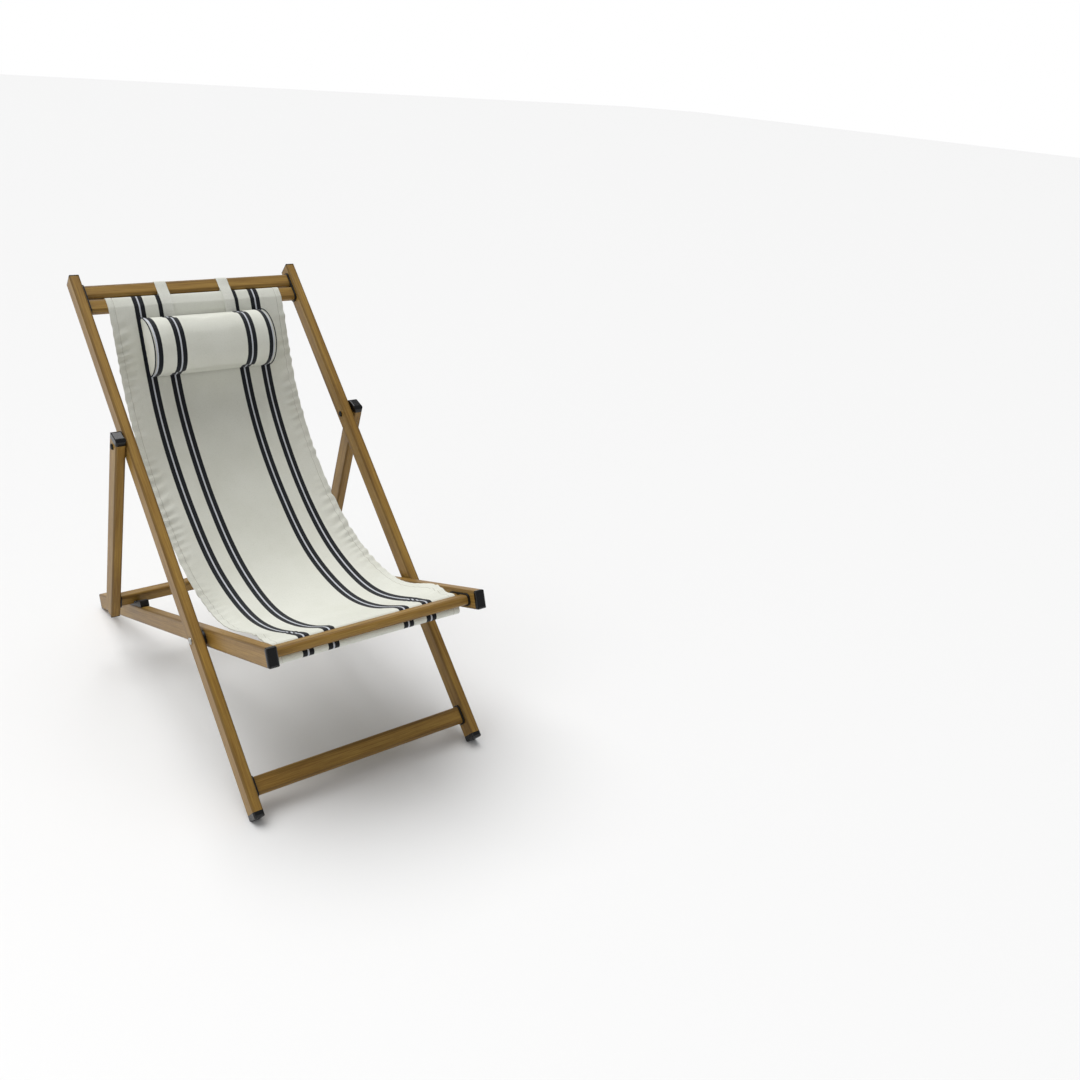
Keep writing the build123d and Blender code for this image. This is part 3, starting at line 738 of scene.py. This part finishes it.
# Corded seams round the two D-shaped ends of the bolster, in the dark stripe yarn.
cordage = Finish("seam_cord")
lay = cordage.noise(cordage.axes(), 1100.0, 2.0, 0.6)
cordage.feed(Base_Color=cordage.mixed(lay, dye("0e1119"), dye("2b2f3c")), Roughness=0.9,
             Specular_IOR_Level=0.2)
cordage.bumped(lay, 0.0003, 0.9)
for word, side in (("left", -1), ("right", 1)):
    bare()
    bpy.ops.mesh.primitive_torus_add(major_segments=72, minor_segments=10, major_radius=1.0,
                                     minor_radius=0.02)
    seam_cord = bpy.context.object
    for vertex in seam_cord.data.vertices:
        angle = math.atan2(vertex.co.y, vertex.co.x)
        ring = math.hypot(vertex.co.x, vertex.co.y) - 1.0
        share, deep = math.cos(angle), max(0.0, math.sin(angle))
        normal = Vector((0, -1))
        if math.sin(angle) > 0:
            normal = Vector((math.cos(angle), math.sin(angle)))
        spot = heart + down * (share * 0.962 * bolster_tall / 2 + normal.x * ring * 0.06)
        spot = spot + out * (deep * 0.955 * bolster_deep + 0.0018 + normal.y * ring * 0.06)
        vertex.co = (side * (bolster_half - 0.0022) + vertex.co.z * 0.06, spot.x, spot.y)
    chosen(seam_cord)
    bpy.ops.object.mode_set(mode="EDIT")
    bpy.ops.mesh.select_all(action="SELECT")
    bpy.ops.mesh.normals_make_consistent(inside=False)
    bpy.ops.object.mode_set(mode="OBJECT")
    finished(seam_cord, "bolster_seam_" + word, cordage.material, "back_frame")

# ---------------------------------------------------------------------------------------------
# The bolster's straps: 26 mm cotton webbing looped round the upper bar and brought down over the
# lower bar and the cloth to the bolster's top edge, with stitches in a long box.
# ---------------------------------------------------------------------------------------------
strap_half, strap_centre, web_thick = 0.013, 0.0730, 0.0013
snug = bar_corner + 0.0011
snug_out = bar_deep / 2 + 0.0011
low_turn, high_turn = top_high - bar_tall / 2 + bar_corner, top_high + bar_tall / 2 - bar_corner
over = bar_deep / 2 + 0.0026
tape_line = [off_rail(back_slope, low_turn - snug, out_by) for out_by in (0.0085, 0)]
tape_line += bent(back_slope, low_turn, -inner_out, snug, 180, 270)
tape_line += bent(back_slope, high_turn, -inner_out, snug, 270, 360)
tape_line += bent(back_slope, high_turn, inner_out, snug, 0, 90)
tape_line.append(off_rail(back_slope, low_turn + 0.003, snug_out))
tape_line.append(off_rail(back_slope, top_turn - 0.001, over + 0.0003))
tape_line += bent(back_slope, leave_turn, inner_out, bar_corner + 0.0028, 90, 90 + swing, 5)
for distance in (0.008, 0.018, 0.030):
    spot, way = hung.at(leave_at + distance), hung.along(leave_at + distance)
    tape_line.append((spot.x + way.y * 0.0022, spot.y - way.x * 0.0022))
tape = Path(tape_line)
patch_start = tape.nearest(off_rail(back_slope, top_turn - 0.004, over))
patch_end = tape.length - 0.009

webbing = Finish("strap_cloth")
uv = webbing.split(webbing.node("ShaderNodeUVMap", {"uv_map": "UVMap"}))
across = (uv[0] - 0.5) * (2 * strap_half)
along = uv[1] * tape.length
slub = webbing.noise(webbing.axes(), 600.0, 3.0, 0.6)
rib = ((across + slub * 0.0002) * (2 * math.pi / 0.0016)).sine()
pick = ((along + slub * 0.0002) * (2 * math.pi / 0.0013)).sine()
inset = strap_half - 0.0035
box_low, box_high = patch_start + 0.003, patch_end - 0.003
within = (along > box_low - 0.0004) * (along < box_high + 0.0004)
inner = (abs(across) < inset + 0.0004) * 1.0
rails = band(abs(across), inset, 0.0006) * within
rungs = (band(along, box_low, 0.0006) + band(along, box_high, 0.0006)) * inner
stitches = rails + rungs
stitch_dash = ((along + across).remainder(0.0038) < 0.0028) * 1.0
thread = (stitches * stitch_dash).limited()
cloth_tone = webbing.mixed(slub.eased(0.4, 0.8) * 0.6, dye("e6e7de"), dye("cbccbe"))
# Painted shade: the webbing darkened along the sunk stitch lines, under the pale thread.
cloth_tone = webbing.mixed(stitches.limited() * 0.30, cloth_tone, dye("9b9684"))
webbing.feed(Base_Color=webbing.mixed(thread, cloth_tone, dye("f7f6ef")), Roughness=0.85,
             Specular_IOR_Level=0.25, Sheen_Weight=0.12, Sheen_Roughness=0.5)
webbing.bumped(rib * pick * 0.6 + slub * 0.4 + thread * 2.0 - stitches * 0.8, 0.0004, 0.8)
tape_rows = 150
for word, side in (("left", -1), ("right", 1)):
    bare()
    bpy.ops.mesh.primitive_grid_add(x_subdivisions=10, y_subdivisions=tape_rows, size=2)
    strap = bpy.context.object
    spots = {}
    for vertex in strap.data.vertices:
        distance = (vertex.co.y + 1) / 2 * tape.length
        spots[vertex.index] = (vertex.co.x, distance)
        middle, way = tape.at(distance), tape.along(distance)
        face = Vector((way.y, -way.x))
        curl = 0.0005 * abs(vertex.co.x) ** 3 * math.sin(70 * distance + side)
        vertex.co = (side * strap_centre + vertex.co.x * strap_half, middle.x + face.x * curl,
                     middle.y + face.y * curl)
    for loop in strap.data.loops:
        wide_share, distance = spots[loop.vertex_index]
        strap.data.uv_layers.active.data[loop.index].uv = ((wide_share + 1) / 2,
                                                           distance / tape.length)
    applied(strap, "SOLIDIFY", "weight_of_webbing", thickness=web_thick, offset=0.0)
    applied(strap, "BEVEL", "soft_edge", width=0.0003, segments=2, limit_method="ANGLE",
            angle_limit=math.radians(60))
    finished(strap, "bolster_webbing_" + word, webbing.material, "back_frame")
    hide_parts("bolster_strap_" + word)

# ---------------------------------------------------------------------------------------------
# The studio: a pale floor, one wide soft light overhead and a little behind the chair, and a
# weak fill from the camera's left.
# ---------------------------------------------------------------------------------------------
floor_gap = 0.0003
bare()
bpy.ops.mesh.primitive_plane_add(size=60, location=(0, 0, Vector(cad_box[0]).z - floor_gap))
floor = bpy.context.object
floor.name = "studio_floor"
paper = Finish("studio_paper")
paper.feed(Base_Color=(0.82, 0.82, 0.82, 1), Roughness=0.9, Specular_IOR_Level=0.1)
floor.data.materials.append(paper.material)

room = bpy.data.worlds.new("studio_room")
bpy.context.scene.world = room
room.use_nodes = True
glow = room.node_tree.nodes["Background"]
glow.inputs["Color"].default_value = (1, 1, 1, 1)
seen = room.node_tree.nodes.new("ShaderNodeLightPath")
level = room.node_tree.nodes.new("ShaderNodeMapRange")
level.inputs["To Min"].default_value = 0.34
level.inputs["To Max"].default_value = 1.0
room.node_tree.links.new(seen.outputs["Is Camera Ray"], level.inputs["Value"])
room.node_tree.links.new(level.outputs["Result"], glow.inputs["Strength"])


def lit(name, kind, spot, aim, **settings):
    """One studio light of a kind, at a spot, facing its aim."""
    data = bpy.data.lights.new(name, kind)
    for key, value in settings.items():
        setattr(data, key, value)
    lamp = bpy.data.objects.new(name, data)
    bpy.context.scene.collection.objects.link(lamp)
    lamp.location = spot
    lamp.rotation_euler = (Vector(aim) - Vector(spot)).to_track_quat("-Z", "Y").to_euler()


lit("ceiling", "SUN", (-0.4, 1.1, 3.4), (0, 0, 0.4), energy=2.7, angle=math.radians(60))
lit("fill_left", "AREA", (-2.6, -1.2, 1.5), (0, 0, 0.4), energy=8, size=1.4)

# ---------------------------------------------------------------------------------------------
# The camera: above the chair's front corner on the side of negative X, held slightly tilted.
# ---------------------------------------------------------------------------------------------
turn, lift_up, roll = math.radians(-39.49), math.radians(24.20), math.radians(4.65)
away = Vector((math.sin(turn) * math.cos(lift_up), -math.cos(turn) * math.cos(lift_up),
               math.sin(lift_up)))
right = (-away).cross(Vector((0, 0, 1))).normalized()
upward = right.cross(-away)
tilted_right = right * math.cos(roll) + upward * math.sin(roll)
tilted_up = upward * math.cos(roll) - right * math.sin(roll)
lens_data = bpy.data.cameras.new("camera")
lens_data.lens = 35.63
lens_data.sensor_width = 36
lens_data.clip_end = 40
camera = bpy.data.objects.new("camera", lens_data)
bpy.context.scene.collection.objects.link(camera)
stand = Vector((-0.92199, seat_pin.y - 1.87673, seat_pin.z + 1.12410))
camera.matrix_world = Matrix((
    (tilted_right.x, tilted_up.x, away.x, stand.x),
    (tilted_right.y, tilted_up.y, away.y, stand.y),
    (tilted_right.z, tilted_up.z, away.z, stand.z),
    (0, 0, 0, 1)))
bpy.context.scene.camera = camera
bpy.context.scene.view_settings.view_transform = "Standard"

bare()
